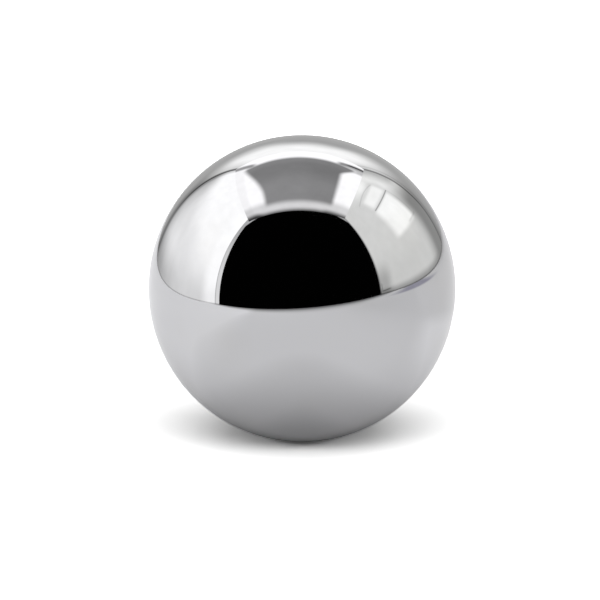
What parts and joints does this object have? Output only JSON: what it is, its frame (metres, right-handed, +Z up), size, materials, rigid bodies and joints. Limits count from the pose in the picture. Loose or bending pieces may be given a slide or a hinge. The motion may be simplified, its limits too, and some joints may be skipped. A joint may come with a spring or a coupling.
{
  "type": "steel ball",
  "caption": "Solid steel ball, ground and lapped round to a mirror polish, for a bearing, a valve, a pendulum or a desk toy.",
  "frame": {"origin": "centre of the ball", "axes": "+Z up, and every axis through the centre is an axis of symmetry"},
  "size_m": [0.0158, 0.0158, 0.0158],
  "materials": {
    "polished_steel": "lapped to a mirror, bare through-hardened steel with no plating"
  },
  "bodies": {
    "root": {"steel_ball": "polished_steel"}
  },
  "joints": []
}
